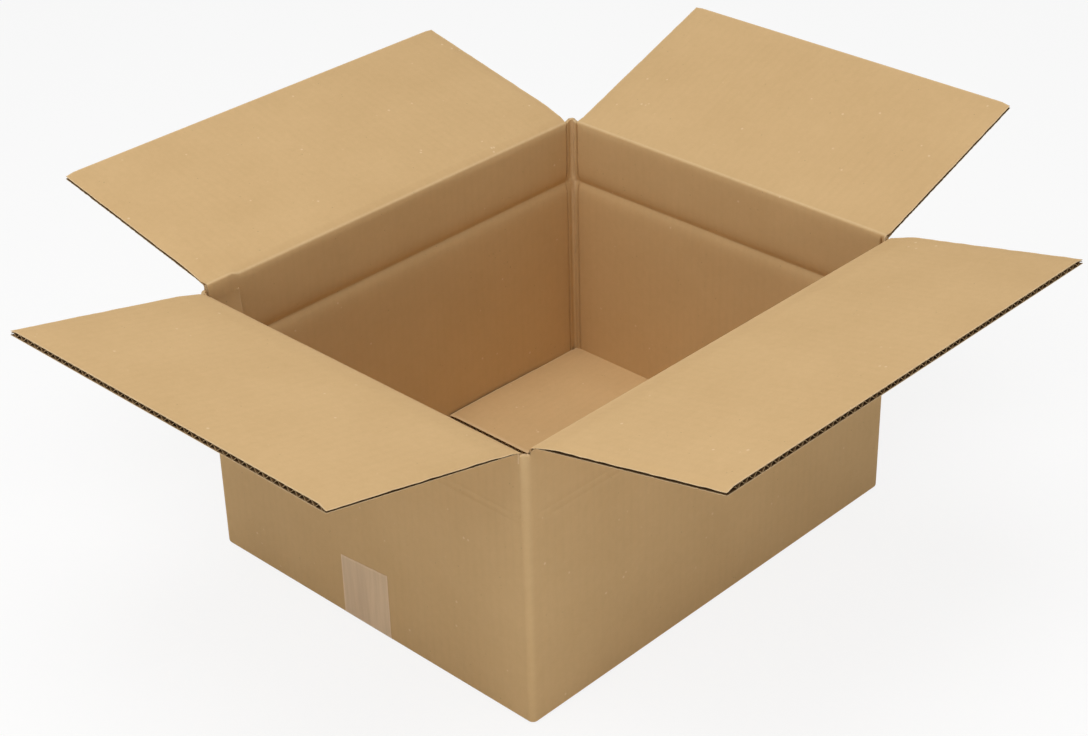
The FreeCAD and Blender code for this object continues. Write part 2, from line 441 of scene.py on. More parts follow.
class PaperEffects:
    """Shader groups that every paper finish shares: fibre grain, flute lines with painted shade, and wear
    with painted highlights.
    """

    def __init__(self) -> None:
        """Build the groups once."""
        self.grain = self._grain()
        self.flutes = self._flutes()
        self.wear_and_highlight = self._wear_and_highlight()

    @staticmethod
    def _group(name: str, inputs: dict[str, str], outputs: dict[str, str]) -> tuple:
        """Make an empty group with named sockets.

        Args:
            name: Name of the group.
            inputs: Socket types by name.
            outputs: Socket types by name.

        Returns:
            The group, its tree, and the nodes at its two ends.
        """
        group = bpy.data.node_groups.new(name, "ShaderNodeTree")
        for key, kind in inputs.items():
            group.interface.new_socket(key, in_out="INPUT", socket_type=kind)
        for key, kind in outputs.items():
            group.interface.new_socket(key, in_out="OUTPUT", socket_type=kind)
        start = group.nodes.new("NodeGroupInput")
        end = group.nodes.new("NodeGroupOutput")
        return group, Tree(group), start, end

    @staticmethod
    def _specks(
        tree: Tree, place: bpy.types.NodeSocket, scale: float, size: float, spread: float, rarity: float
    ) -> bpy.types.NodeSocket:
        """Scattered round specks: the cells of a Voronoi pattern that a noise picks out.

        Args:
            tree: Tree that the nodes go into.
            place: Position on the paper.
            scale: Cells in each metre.
            size: Radius of a speck as a share of its cell.
            spread: Scale of the noise.
            rarity: Noise above which a cell keeps its speck.

        Returns:
            1 on the specks and 0 elsewhere.
        """
        cells = tree.node("ShaderNodeTexVoronoi", {"Vector": place, "Scale": scale}, feature="F1")
        near = tree.fit(cells.outputs["Distance"], size, size + 0.06, 1.0, 0.0)
        chosen = tree.fit(tree.noise(place, spread, 1.0), rarity, rarity + 0.04)
        return tree.math("MULTIPLY", near, chosen)

    def _grain(self) -> bpy.types.NodeTree:
        """Paper fibres: clouds, short streaks across the flutes, pale specks and dark ones.

        Returns:
            A group from a place to the tone, the two kinds of specks and the height.
        """
        outputs = {"Tone": "NodeSocketFloat", "Pale": "NodeSocketFloat"}
        outputs |= {"Dark": "NodeSocketFloat", "Height": "NodeSocketFloat"}
        group, tree, start, end = self._group("paper_grain", {"Place": "NodeSocketVector"}, outputs)
        place = start.outputs["Place"]
        clouds = tree.noise(place, 16.0, 3.0, 0.55)
        mottle = tree.noise(place, 170.0, 3.0, 0.6)
        streaks = tree.noise(tree.stretched(place, (1.0, 1.0, 5.0)), 420.0, 3.0, 0.65)
        broad = tree.math("ADD", tree.math("MULTIPLY", clouds, 0.45), tree.math("MULTIPLY", mottle, 0.3))
        tone = tree.math("ADD", broad, tree.math("MULTIPLY", streaks, 0.25))
        links = tree.tree.links
        links.new(tone, end.inputs["Tone"])
        links.new(self._specks(tree, place, 130.0, 0.10, 61.0, 0.64), end.inputs["Pale"])
        links.new(self._specks(tree, place, 210.0, 0.08, 83.0, 0.63), end.inputs["Dark"])
        links.new(tree.math("ADD", mottle, streaks), end.inputs["Height"])
        return group

    def _flutes(self) -> bpy.types.NodeTree:
        """The flutes that show through the liner: the cosine of the place across them, for their relief
        and a painted shadow line.

        Returns:
            A group from a place and a pitch to the painted shadow line and the height.
        """
        inputs = {"Flute Place": "NodeSocketVector", "Pitch": "NodeSocketFloat"}
        outputs = {"Line": "NodeSocketFloat", "Height": "NodeSocketFloat"}
        group, tree, start, end = self._group("flute_shadow_lines", inputs, outputs)
        split = tree.node("ShaderNodeSeparateXYZ", {0: start.outputs["Flute Place"]})
        drift = tree.noise(tree.stretched(start.outputs["Flute Place"], (1.0, 0.15, 1.0)), 25.0, 1.0)
        turns = tree.math("DIVIDE", split.outputs[0], start.outputs["Pitch"])
        angle = tree.math("MULTIPLY", turns, 2.0 * math.pi)
        angle = tree.math("ADD", angle, tree.math("MULTIPLY", drift, 1.6))
        wave = tree.fit(tree.math("COSINE", angle), -1.0, 1.0)
        sharp = tree.math("POWER", wave, 3.0)
        strength = tree.fit(tree.noise(start.outputs["Flute Place"], 9.0, 2.0), 0.3, 0.7, 0.35, 1.0)
        links = tree.tree.links
        links.new(tree.math("MULTIPLY", sharp, strength), end.inputs["Line"])
        links.new(tree.math("MULTIPLY", wave, strength), end.inputs["Height"])
        return group

    def _wear_and_highlight(self) -> bpy.types.NodeTree:
        """Rubbed paper and painted highlights: the piece's worn attribute, which holds both, broken up by
        noise.

        Returns:
            A group from a place and a wear to the mask of the pale colour for rubbing and painted
            highlights.
        """
        inputs = {"Place": "NodeSocketVector", "Worn": "NodeSocketFloat"}
        group, tree, start, end = self._group("paper_wear_and_highlight", inputs, {"Mask": "NodeSocketFloat"})
        broken = tree.fit(tree.noise(start.outputs["Place"], 300.0, 3.0, 0.6), 0.25, 0.75, 0.45, 1.0)
        mask = tree.math("MULTIPLY", start.outputs["Worn"], broken, clamp=True)
        tree.tree.links.new(mask, end.inputs["Mask"])
        return group


@dataclass(frozen=True)
class PaperFinish:
    """A brown paper: its colours, and how far its grain and flutes show."""

    name: str
    colour: Colour
    light: Colour
    # Pale colour for specks, rubbed paper and painted highlights.
    rub_and_highlight: Colour
    # How strongly the flute ridges' painted shade darkens the colour, and how high their bump is.
    flute_shade: float = 0.03
    flute_relief: float = 0.03
    grain_relief: float = 0.02
    roughness: float = 0.82
    specular: float = 0.15
    pale_specks: float = 0.55
    dark_specks: float = 0.35
    flute_shadow_darkness: float = 0.45
    speck_darkness: float = 0.4

    def _darker(self, share: float) -> Colour:
        """The paper's own colour, down to a share of its light."""
        return tuple(share * c for c in self.colour)

    def build(self, effects: PaperEffects) -> bpy.types.Material:
        """Make the material.

        Args:
            effects: The shared shader groups.

        Returns:
            A matt paper with mottled colour, specks, rubbed edges, painted highlights and faint painted
            shadow lines along the flutes.
        """
        material = bpy.data.materials.new(self.name)
        material.use_nodes = True
        tree = Tree(material.node_tree)
        shader = material.node_tree.nodes["Principled BSDF"]
        links = material.node_tree.links
        place = tree.node("ShaderNodeTexCoord").outputs["Object"]
        flute_place = tree.node("ShaderNodeAttribute", attribute_name="flute_place").outputs["Vector"]
        worn = tree.node("ShaderNodeAttribute", attribute_name="worn").outputs["Fac"]
        grain = tree.node("ShaderNodeGroup", node_tree=effects.grain)
        links.new(place, grain.inputs["Place"])
        flutes = tree.node("ShaderNodeGroup", node_tree=effects.flutes)
        links.new(flute_place, flutes.inputs["Flute Place"])
        flutes.inputs["Pitch"].default_value = STOCK.pitch * MM
        wear_and_highlight = tree.node("ShaderNodeGroup", node_tree=effects.wear_and_highlight)
        links.new(place, wear_and_highlight.inputs["Place"])
        links.new(worn, wear_and_highlight.inputs["Worn"])
        tone = tree.fit(grain.outputs["Tone"], 0.32, 0.68)
        colour = tree.mix(tone, self.colour, self.light)
        # Painted shade: darker lines along the flutes where the washboard's ridges shade.
        shade = tree.math("MULTIPLY", flutes.outputs["Line"], self.flute_shade)
        colour = tree.mix(shade, colour, self._darker(self.flute_shadow_darkness))
        pale = tree.math("MULTIPLY", grain.outputs["Pale"], self.pale_specks)
        colour = tree.mix(pale, colour, self.rub_and_highlight)
        dark = tree.math("MULTIPLY", grain.outputs["Dark"], self.dark_specks)
        colour = tree.mix(dark, colour, self._darker(self.speck_darkness))
        # Pale colour where the worn attribute asks: rubbed paper and painted highlights.
        colour = tree.mix(wear_and_highlight.outputs["Mask"], colour, self.rub_and_highlight)
        links.new(colour, shader.inputs["Base Color"])
        rough = tree.fit(grain.outputs["Tone"], 0.3, 0.7, self.roughness + 0.06, self.roughness - 0.05)
        links.new(rough, shader.inputs["Roughness"])
        shader.inputs["Specular IOR Level"].default_value = self.specular
        height = tree.math("MULTIPLY", grain.outputs["Height"], self.grain_relief)
        ridges = tree.math("MULTIPLY", flutes.outputs["Height"], self.flute_relief)
        height = tree.math("SUBTRACT", height, ridges)
        bump = tree.node("ShaderNodeBump", {"Strength": 1.0, "Distance": MM, "Height": height})
        links.new(bump.outputs["Normal"], shader.inputs["Normal"])
        return material


@dataclass(frozen=True)
class TapeFinish:
    """Clear packing tape on brown paper: a thin glossy film with streaks of trapped air."""

    name: str = "packing_film"
    colour: Colour = (0.78, 0.555, 0.335)
    pale: Colour = (0.85, 0.625, 0.39)
    alpha: float = 0.74
    air_film: float = 0.08
    border_film: float = 0.12

    def build(self) -> bpy.types.Material:
        """Make the material.

        Returns:
            A glossy film with streaks along the tape and denser borders.
        """
        material = bpy.data.materials.new(self.name)
        material.use_nodes = True
        tree = Tree(material.node_tree)
        shader = material.node_tree.nodes["Principled BSDF"]
        links = material.node_tree.links
        place = tree.node("ShaderNodeAttribute", attribute_name="flute_place").outputs["Vector"]
        border = tree.node("ShaderNodeAttribute", attribute_name="worn").outputs["Fac"]
        streaks = tree.noise(tree.stretched(place, (1.0, 0.06, 1.0)), 140.0, 3.0, 0.6)
        broad = tree.noise(tree.stretched(place, (1.0, 0.04, 1.0)), 45.0, 1.0)
        halves = [tree.math("MULTIPLY", part, 0.5) for part in (streaks, broad)]
        air = tree.fit(tree.math("ADD", *halves), 0.4, 0.6)
        links.new(tree.mix(air, self.colour, self.pale), shader.inputs["Base Color"])
        film = tree.math("MULTIPLY", air, self.air_film)
        film = tree.math("ADD", film, tree.math("MULTIPLY", border, self.border_film))
        links.new(tree.math("ADD", film, self.alpha, clamp=True), shader.inputs["Alpha"])
        links.new(tree.fit(streaks, 0.3, 0.7, 0.3, 0.42), shader.inputs["Roughness"])
        bump = tree.node("ShaderNodeBump", {"Strength": 0.4, "Distance": 0.05 * MM, "Height": streaks})
        links.new(bump.outputs["Normal"], shader.inputs["Normal"])
        return material


@dataclass
class Finishes:
    """Every finish of the box, built once."""

    effects: PaperEffects = field(default_factory=PaperEffects)

    def __post_init__(self) -> None:
        """Build the papers and the tape."""
        liner = PaperFinish(
            "kraft_liner", (0.597, 0.397, 0.191), (0.655, 0.443, 0.220), (0.80, 0.62, 0.39)
        )
        plain = {"flute_shade": 0.0, "flute_relief": 0.0}
        # Fluting paper, darker than the liner, and darker still as painted shade for the hollow flutes;
        # it also covers the liners' inner faces.
        medium = PaperFinish(
            "kraft_medium_shaded", (0.19, 0.108, 0.045), (0.26, 0.155, 0.07), (0.4, 0.27, 0.14),
            grain_relief=0.03, roughness=0.9, **plain,
        )
        cut = PaperFinish(
            "kraft_cut_edge", (0.44, 0.29, 0.145), (0.63, 0.45, 0.25), (0.78, 0.60, 0.37),
            grain_relief=0.08, roughness=0.92, **plain,
        )
        self.board = [finish.build(self.effects) for finish in (liner, medium, cut)]
        self.tape = TapeFinish().build()


def corner_relief(distance: Array, reach: float) -> Array:
    """Relief of an inner face beside its corner, in millimetres towards the inside.

    A narrow bell-shaped groove, pressed by the creasing wheel, runs beside the corner, and
    the face falls back evenly into the fold.

    Args:
        distance: Distance along the wall from the corner.
        reach: Distance from the corner at which the fall begins.

    Returns:
        The relief for each distance.
    """
    fall = -PRESS.corner_fall * np.clip(1.0 - distance / reach, 0.0, 1.0)
    return fall - PRESS.groove_depth * bell(distance, PRESS.groove_place, PRESS.groove_half_width)


def score_relief(height: Array) -> Array:
    """Relief of the pressed height score on the inner faces.

    It is a V-like groove: minus its depth times e to the minus distance from the score in
    units of its fade, with the tip rounded by a hypotenuse.
    """
    away = np.hypot(height - SIZES.score, PRESS.score_tip) - PRESS.score_tip
    return -PRESS.score_depth * np.exp(-away / PRESS.score_fade)


@dataclass
class Panel:
    """A flat piece of board with open flutes at its free edge: two liners and a wavy medium.

    Its own coordinates are s from the crease along the flutes, y across them, and h up from
    the outer face.
    """

    name: str
    bearing: int
    width: float
    depth: float
    start: float
    seed: int
    left: SideCut = SideCut.CLEAN
    right: SideCut = SideCut.CLEAN
    crush: float = 0.0
    left_taper: float = 0.0
    right_taper: float = 0.0
    dense_rows: int = 110

    def place(self, s: Array, y: Array, h: Array) -> Array:
        """World points of places on the panel. Each kind of panel gives its own."""
        raise NotImplementedError

    def _cut(self, y: Array) -> tuple[Array, Array]:
        """Distance from the nearer side, and the share of thickness that its cut took."""
        taken = np.where(y > 0, CUT_SQUEEZE[self.left], CUT_SQUEEZE[self.right])
        return self.width / 2 - np.abs(y), taken

    def squeezed(self, s: Array, y: Array, h: Array) -> Array:
        """Height after crushing: the space over the outer liner shrinks at a side or the crease.

        The share that is left falls smoothly from 1, some way in from a side, to what the cut
        left, and from 1, some way from the crease, to what the crease's crush leaves.

        Args:
            s: Distance from the crease.
            y: Place across the flutes.
            h: Height in the whole board.

        Returns:
            The height in the crushed board.
        """
        distance, taken = self._cut(y)
        taken = taken * (1.0 + 0.2 * smooth_noise(s, 0 * s, self.seed + 5, 22.0))
        left_over = 1.0 - taken * (1.0 - ease(distance, CUT.squeezed_from, CUT.squeezed_to))
        left_over = left_over * (1.0 - self.crush * (1.0 - ease(s, 0.0, CUT.crease_fade)))
        over = h - STOCK.liner
        return np.where(over > 0, STOCK.liner + over * left_over, h)

    def _liner(self, shells: Shells, inner: bool) -> None:
        """Add one liner, with its cut sides slightly ragged.

        The side moves in by the absolute value of two layers of noise along the cut.

        Args:
            shells: Where the liner goes.
            inner: Whether it is the inner liner.
        """
        half = self.width / 2
        y = np.concatenate([[0.0, 0.5, 1.2, 2.2, 4.0, 7.0], np.linspace(12.0, self.width / 2, 14)])
        y = np.concatenate([y - half, (half - y[:-1])[::-1]])
        s = np.linspace(self.start, self.depth, self.dense_rows)
        s, y = np.meshgrid(s, y, indexing="ij")
        torn = CUT.inner_fray if inner else CUT.outer_fray
        seed = self.seed + (1 if inner else 2)
        fray = np.abs(smooth_noise(s, 9.0 * np.sign(y), seed, 5.0)) * torn
        fray += np.abs(smooth_noise(s, 9.0 * np.sign(y), seed + 40, 2.2)) * torn * 0.6
        distance, _ = self._cut(y)
        moved = y - np.sign(y) * fray * (1.0 - ease(distance, 0.0, CUT.fray_reach))
        low = STOCK.thickness - STOCK.liner if inner else 0.0
        high = low + STOCK.liner
        upper = self.place(s, moved, self.squeezed(s, y, high + 0 * s))
        lower = self.place(s, moved, self.squeezed(s, y, low + 0 * s))
        edge = np.minimum(distance, self.depth - s)
        worn = CUT.paler_share * (1.0 - ease(edge, 0.0, CUT.rubbed_width))
        # The liners' inner faces, hidden in the flutes, take the dark medium finish as painted shade.
        faces = (Slot.LINER, Slot.MEDIUM) if inner else (Slot.MEDIUM, Slot.LINER)
        shells.slab(upper, lower, np.stack([y, s], -1), worn, (*faces, Slot.CUT))

    def _medium(self, shells: Shells) -> None:
        """Add the fluted medium: a sine wave across the panel between the two liners.

        An open side leaves the last flute empty, so the wave ends about a pitch short.

        Args:
            shells: Where the medium goes.
        """
        low = CUT_RECESS[self.right] - self.width / 2
        high = self.width / 2 - CUT_RECESS[self.left]
        y = np.linspace(low, high, int((high - low) / STOCK.pitch * CUT.wave_points))
        s = np.concatenate([np.linspace(self.start, 16.0, 6), np.linspace(50.0, self.depth - 3.0, 4)])
        s = np.concatenate([s, [self.depth - 0.9, self.depth - 0.15]])
        s, y = np.meshgrid(s, y, indexing="ij")
        middle = STOCK.thickness / 2
        reach = middle - STOCK.liner - STOCK.medium / 2
        phase = 2.0 * math.pi * y / STOCK.pitch
        shift = 0.5 * smooth_noise(y, 0 * y, self.seed + 9, 40.0) * ease(s, self.depth - 2.0, self.depth)
        wave = middle + reach * np.sin(phase + shift)
        slope = reach * 2.0 * math.pi / STOCK.pitch * np.cos(phase + shift)
        lean = np.sqrt(1.0 + slope**2)
        side, lift = -slope / lean * STOCK.medium / 2, 1.0 / lean * STOCK.medium / 2
        upper = self.place(s, y + side, self.squeezed(s, y, wave + lift))
        lower = self.place(s, y - side, self.squeezed(s, y, wave - lift))
        shells.slab(upper, lower, np.stack([y, s], -1), 0.0 * s, (Slot.MEDIUM, Slot.MEDIUM, Slot.CUT))

    def board(self, shells: Shells) -> None:
        """Add the panel's liners and medium."""
        self._liner(shells, inner=True)
        self._liner(shells, inner=False)
        self._medium(shells)


@dataclass
class TopFlap(Panel):
    """A top flap that stands folded out at its rest angle, and the crease it turns on."""

    angle: float = 12.0
    distance: float = 200.0
    crease: float = 221.5
    body: str = ""
    reach: float = 5.0
    dip: float = 0.0
    skew: float = 0.0
    tab: bool = False

    def place(self, s: Array, y: Array, h: Array) -> Array:
        """World points: narrowed by the taper, tilted up about the crease, turned and moved out.

        Args:
            s: Distance from the crease.
            y: Place across the flutes.
            h: Height over the outer face.

        Returns:
            The points in millimetres.
        """
        taper = np.where(y > 0, self.left_taper, self.right_taper) * (1.0 - s / self.depth)
        y = y * (1.0 - taper / (self.width / 2))
        tilt = math.radians(self.angle)
        radial = self.distance + s * math.cos(tilt) - h * math.sin(tilt)
        height = self.crease + s * math.sin(tilt) + h * math.cos(tilt)
        x, y = turned(self.bearing, radial, y)
        return np.stack([x, y, height], -1)

    def build_flap(self, finishes: Finishes) -> bpy.types.Object:
        """Build the flap as one piece that turns with its body.

        Args:
            finishes: Finishes of the box.

        Returns:
            The flap's board.
        """
        shells = Shells()
        self.board(shells)
        piece = shells.piece(self.name + "_board", finishes.board)
        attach(piece, self.body)
        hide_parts(self.name)
        return piece

    def _heading(self) -> tuple[Array, Array]:
        """Unit vectors along the flap and up across it, in the plane across the crease."""
        cosine, sine = math.cos(math.radians(self.angle)), math.sin(math.radians(self.angle))
        return np.array([cosine, sine]), np.array([-sine, cosine])

    def _from_corner(self, y: Array) -> Array:
        """Distance along the wall from the box's inner corner at the flap's left side."""
        return self.width / 2 + SIZES.flap_inset - STOCK.thickness - y

    def _corner(self) -> Array:
        """Where the crease's inner corner lies: on the flap's inner face, or lower by the dip."""
        tilt = math.radians(self.angle)
        level = (STOCK.thickness - CREASE.corner_inset * math.sin(tilt)) / math.cos(tilt)
        return np.array([-CREASE.corner_inset, level - self.dip])

    def _inner_profile(self, corner: Array, depth: float, base: float) -> Array:
        """The inner liner's line in the plane across the crease, outwards and up.

        It climbs the wall, leans outwards near the top, turns at the corner in a small curve,
        and runs onto the flap. All three curves are cubic Bezier curves.

        Args:
            corner: The corner's place.
            depth: Distance of the wall's inner face from its outer face.
            base: Height where the strip starts.

        Returns:
            Points along the line.
        """
        along, across = self._heading()
        step = 0.5
        s = np.array([self.start, self.start + step])
        thick = self.squeezed(s, 0 * s, STOCK.thickness + 0 * s)
        end = along * self.start + across * thick[0]
        heading = along + across * (thick[1] - thick[0]) / step
        lean = np.array(CREASE.lean)
        run = end - corner
        turn = CREASE.rounding * run / np.linalg.norm(run)
        before = corner - CREASE.rounding * lean
        low = np.array([-depth, max(corner[1] - CREASE.lean_height, base + CREASE.least_climb)])
        t = np.linspace(0.0, 1.0, 12)
        wall = bezier(low, low + [0.0, 3.0], corner - 4.0 * lean, before, t)
        t = t[1:]
        bend = bezier(before, corner - 0.4 * lean, corner + 0.3 * turn, corner + turn, t)
        ramp = bezier(corner + turn, corner + 1.6 * turn, end - 2.2 * heading, end, t)
        return np.concatenate([[[-depth, base]], wall, bend, ramp])

    def _relief(self, y: Array, height: Array, corner: float) -> Array:
        """Relief of the inner liner under the corner: the fold and its groove, which fade out.

        Args:
            y: Place across the flap.
            height: Height over the crease.
            corner: Height of the crease's inner corner.

        Returns:
            The relief towards the inside.
        """
        relief = corner_relief(self._from_corner(np.abs(y)), self.reach)
        relief = relief * (1.0 - ease(height, corner - 7.0, corner - 1.0))
        waves = smooth_noise(y, 0.6 * height, self.seed + 20, 12.0)
        waves = waves + 0.5 * np.cos(2 * math.pi * y / STOCK.pitch)
        return relief + 0.12 * waves * bell(height, corner - 1.5, 2.5)

    @staticmethod
    def _inwards(line: Array) -> Array:
        """Unit vectors across a line that climbs the wall and runs out: its tangent turned left."""
        tangent = np.gradient(line, axis=0)
        normal = np.stack([-tangent[:, 1], tangent[:, 0]], -1)
        return normal / np.linalg.norm(normal, axis=1)[:, None]

    def _over_tab(self, face: Array, y: Array, corner: Array, base: float) -> Array:
        """Raise the inner face beside the glued joint to a line over the tab's edge.

        Args:
            face: Points of the face, outwards and up from the crease.
            y: Place of each point across the flap.
            corner: Place of the crease's inner corner.
            base: Height where the strip starts.

        Returns:
            The points, with a step where the tab ends.
        """
        depth = STOCK.thickness + SIZES.tab_thickness - SIZES.tab_lean + CREASE.tab_gap
        raised = self._inner_profile(corner + CREASE.tab_corner, depth, base)
        reach = SIZES.tab_reach - STOCK.thickness
        over = (1.0 - ease(self._from_corner(y), reach - 0.3, reach + 0.5))[..., None]
        return face * (1.0 - over) + raised[None] * over

    def _inner_face(self, y: Array, plain: Array, corner: Array, base: float) -> Array:
        """Points of the inner liner over the crease, outwards and up from it.

        The plain line is moved by the corner's relief, raised over the tab, lowered by the
        skew towards the right side, and led onto the flap where its sides are squeezed.

        Args:
            y: Place of each point across the flap.
            plain: The line of the inner liner.
            corner: Place of the crease's inner corner.
            base: Height where the strip starts.

        Returns:
            Points, columns by line by 2.
        """
        relief = self._relief(y, plain[:, 1][None] + 0 * y, corner[1])
        face = plain[None] + self._inwards(plain)[None] * relief[..., None]
        if self.tab:
            face = self._over_tab(face, y, corner, base)
        onto = ease(plain[:, 0], corner[0], plain[-1, 0])[None]
        under = ease(plain[:, 1], base, corner[1]) * (1.0 - onto)
        face[..., 1] -= self.skew * np.clip(0.5 - y / self.width, 0.0, 1.0) * under
        root = self.squeezed(self.start + 0 * y, y, STOCK.thickness + 0 * y)
        _, across = self._heading()
        return face + across * (onto * (root - root[len(y) // 2, 0]))[..., None]

    def _outer_line(self, base: float, share: Array) -> Array:
        """The outer liner's line: up the wall, then a Bezier curve onto the flap."""
        along, _ = self._heading()
        bend = bezier([0.0, -5.0], [-0.5, 0.2], 0.1 * along - [0.9, 0.6], along * self.start, share)
        return np.concatenate([[[0.0, base]], bend])

    def _world(self, line: Array, y: Array) -> Array:
        """World points of places given outwards and up from the crease, and across the flap."""
        x, side = turned(self.bearing, self.distance + line[..., 0], y)
        return np.stack([x, side, self.crease + line[..., 1]], -1)

    def build_crease(self, finishes: Finishes) -> bpy.types.Object:
        """Build the crease: the pinched board from the wall's top to the flap's root.

        Both liners follow Bezier curves in the plane across the crease. They are joined on
        the wall, and nearer to the flap an open space between them shows at the cut sides.

        Args:
            finishes: Finishes of the box.

        Returns:
            The crease.
        """
        base = SIZES.rim_base - self.crease
        corner = self._corner()
        plain = self._inner_profile(corner, STOCK.thickness, base)
        half = self.width / 2
        y = stations(self.right_taper - half, half - self.left_taper, *SIDE_STEPS)
        y, share = np.meshgrid(y, np.linspace(0.0, 1.0, len(plain)), indexing="ij")
        line = self._outer_line(base, share[0, 1:])
        face = self._inner_face(y, plain, corner, base)
        outer = line[None] + 0 * y[..., None]
        inside = outer + STOCK.liner * self._inwards(line)
        solid = (1.0 - ease(share, CREASE.joined_to, CREASE.open_from))[..., None]
        back = (face - STOCK.liner * self._inwards(plain)) * (1.0 - solid) + inside * solid
        # A paler line along the fold's inner corner: rubbed paper and painted highlight.
        worn = CREASE.paler_share * bell(plain[:, 1][None] + 0 * y, corner[1] + 0.3, 0.8)
        worn = worn * (share < 0.75)
        if self.reach < PRESS.highlighted_reach:
            # Painted highlight: a pale stripe beside the short walls' inner corners, carried up the
            # crease.
            bead_highlight = Case.bead_highlight * bell(self._from_corner(np.abs(y)), PRESS.bead_highlight_place, PRESS.bead_highlight_half_width)
            worn = np.maximum(worn, bead_highlight * (share < 0.5))
        shells = Shells()
        for upper, lower in ((face, back), (inside, outer)):
            place = np.stack([y, 40.0 * share], -1)
            shells.slab(self._world(upper, y), self._world(lower, y), place, worn)
        piece = shells.piece(self.name + "_crease", finishes.board)
        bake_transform(piece)
        return piece


@dataclass
class BottomFlap(Panel):
    """A closed bottom flap that lies flat, with the height of its outer face."""

    distance: float = 200.0
    level: float = 0.0
    droop: float = 0.0

    def place(self, s: Array, y: Array, h: Array) -> Array:
        """World points: inwards from the wall, lower towards the crease by the droop.

        Args:
            s: Distance from the crease.
            y: Place across the flutes.
            h: Height over the outer face.

        Returns:
            The points in millimetres.
        """
        fall = self.droop * (1.0 - ease(s, 0.0, self.depth)) ** 1.5
        x, y = turned(self.bearing, self.distance - s, y)
        return np.stack([x, y, self.level + h - fall], -1)


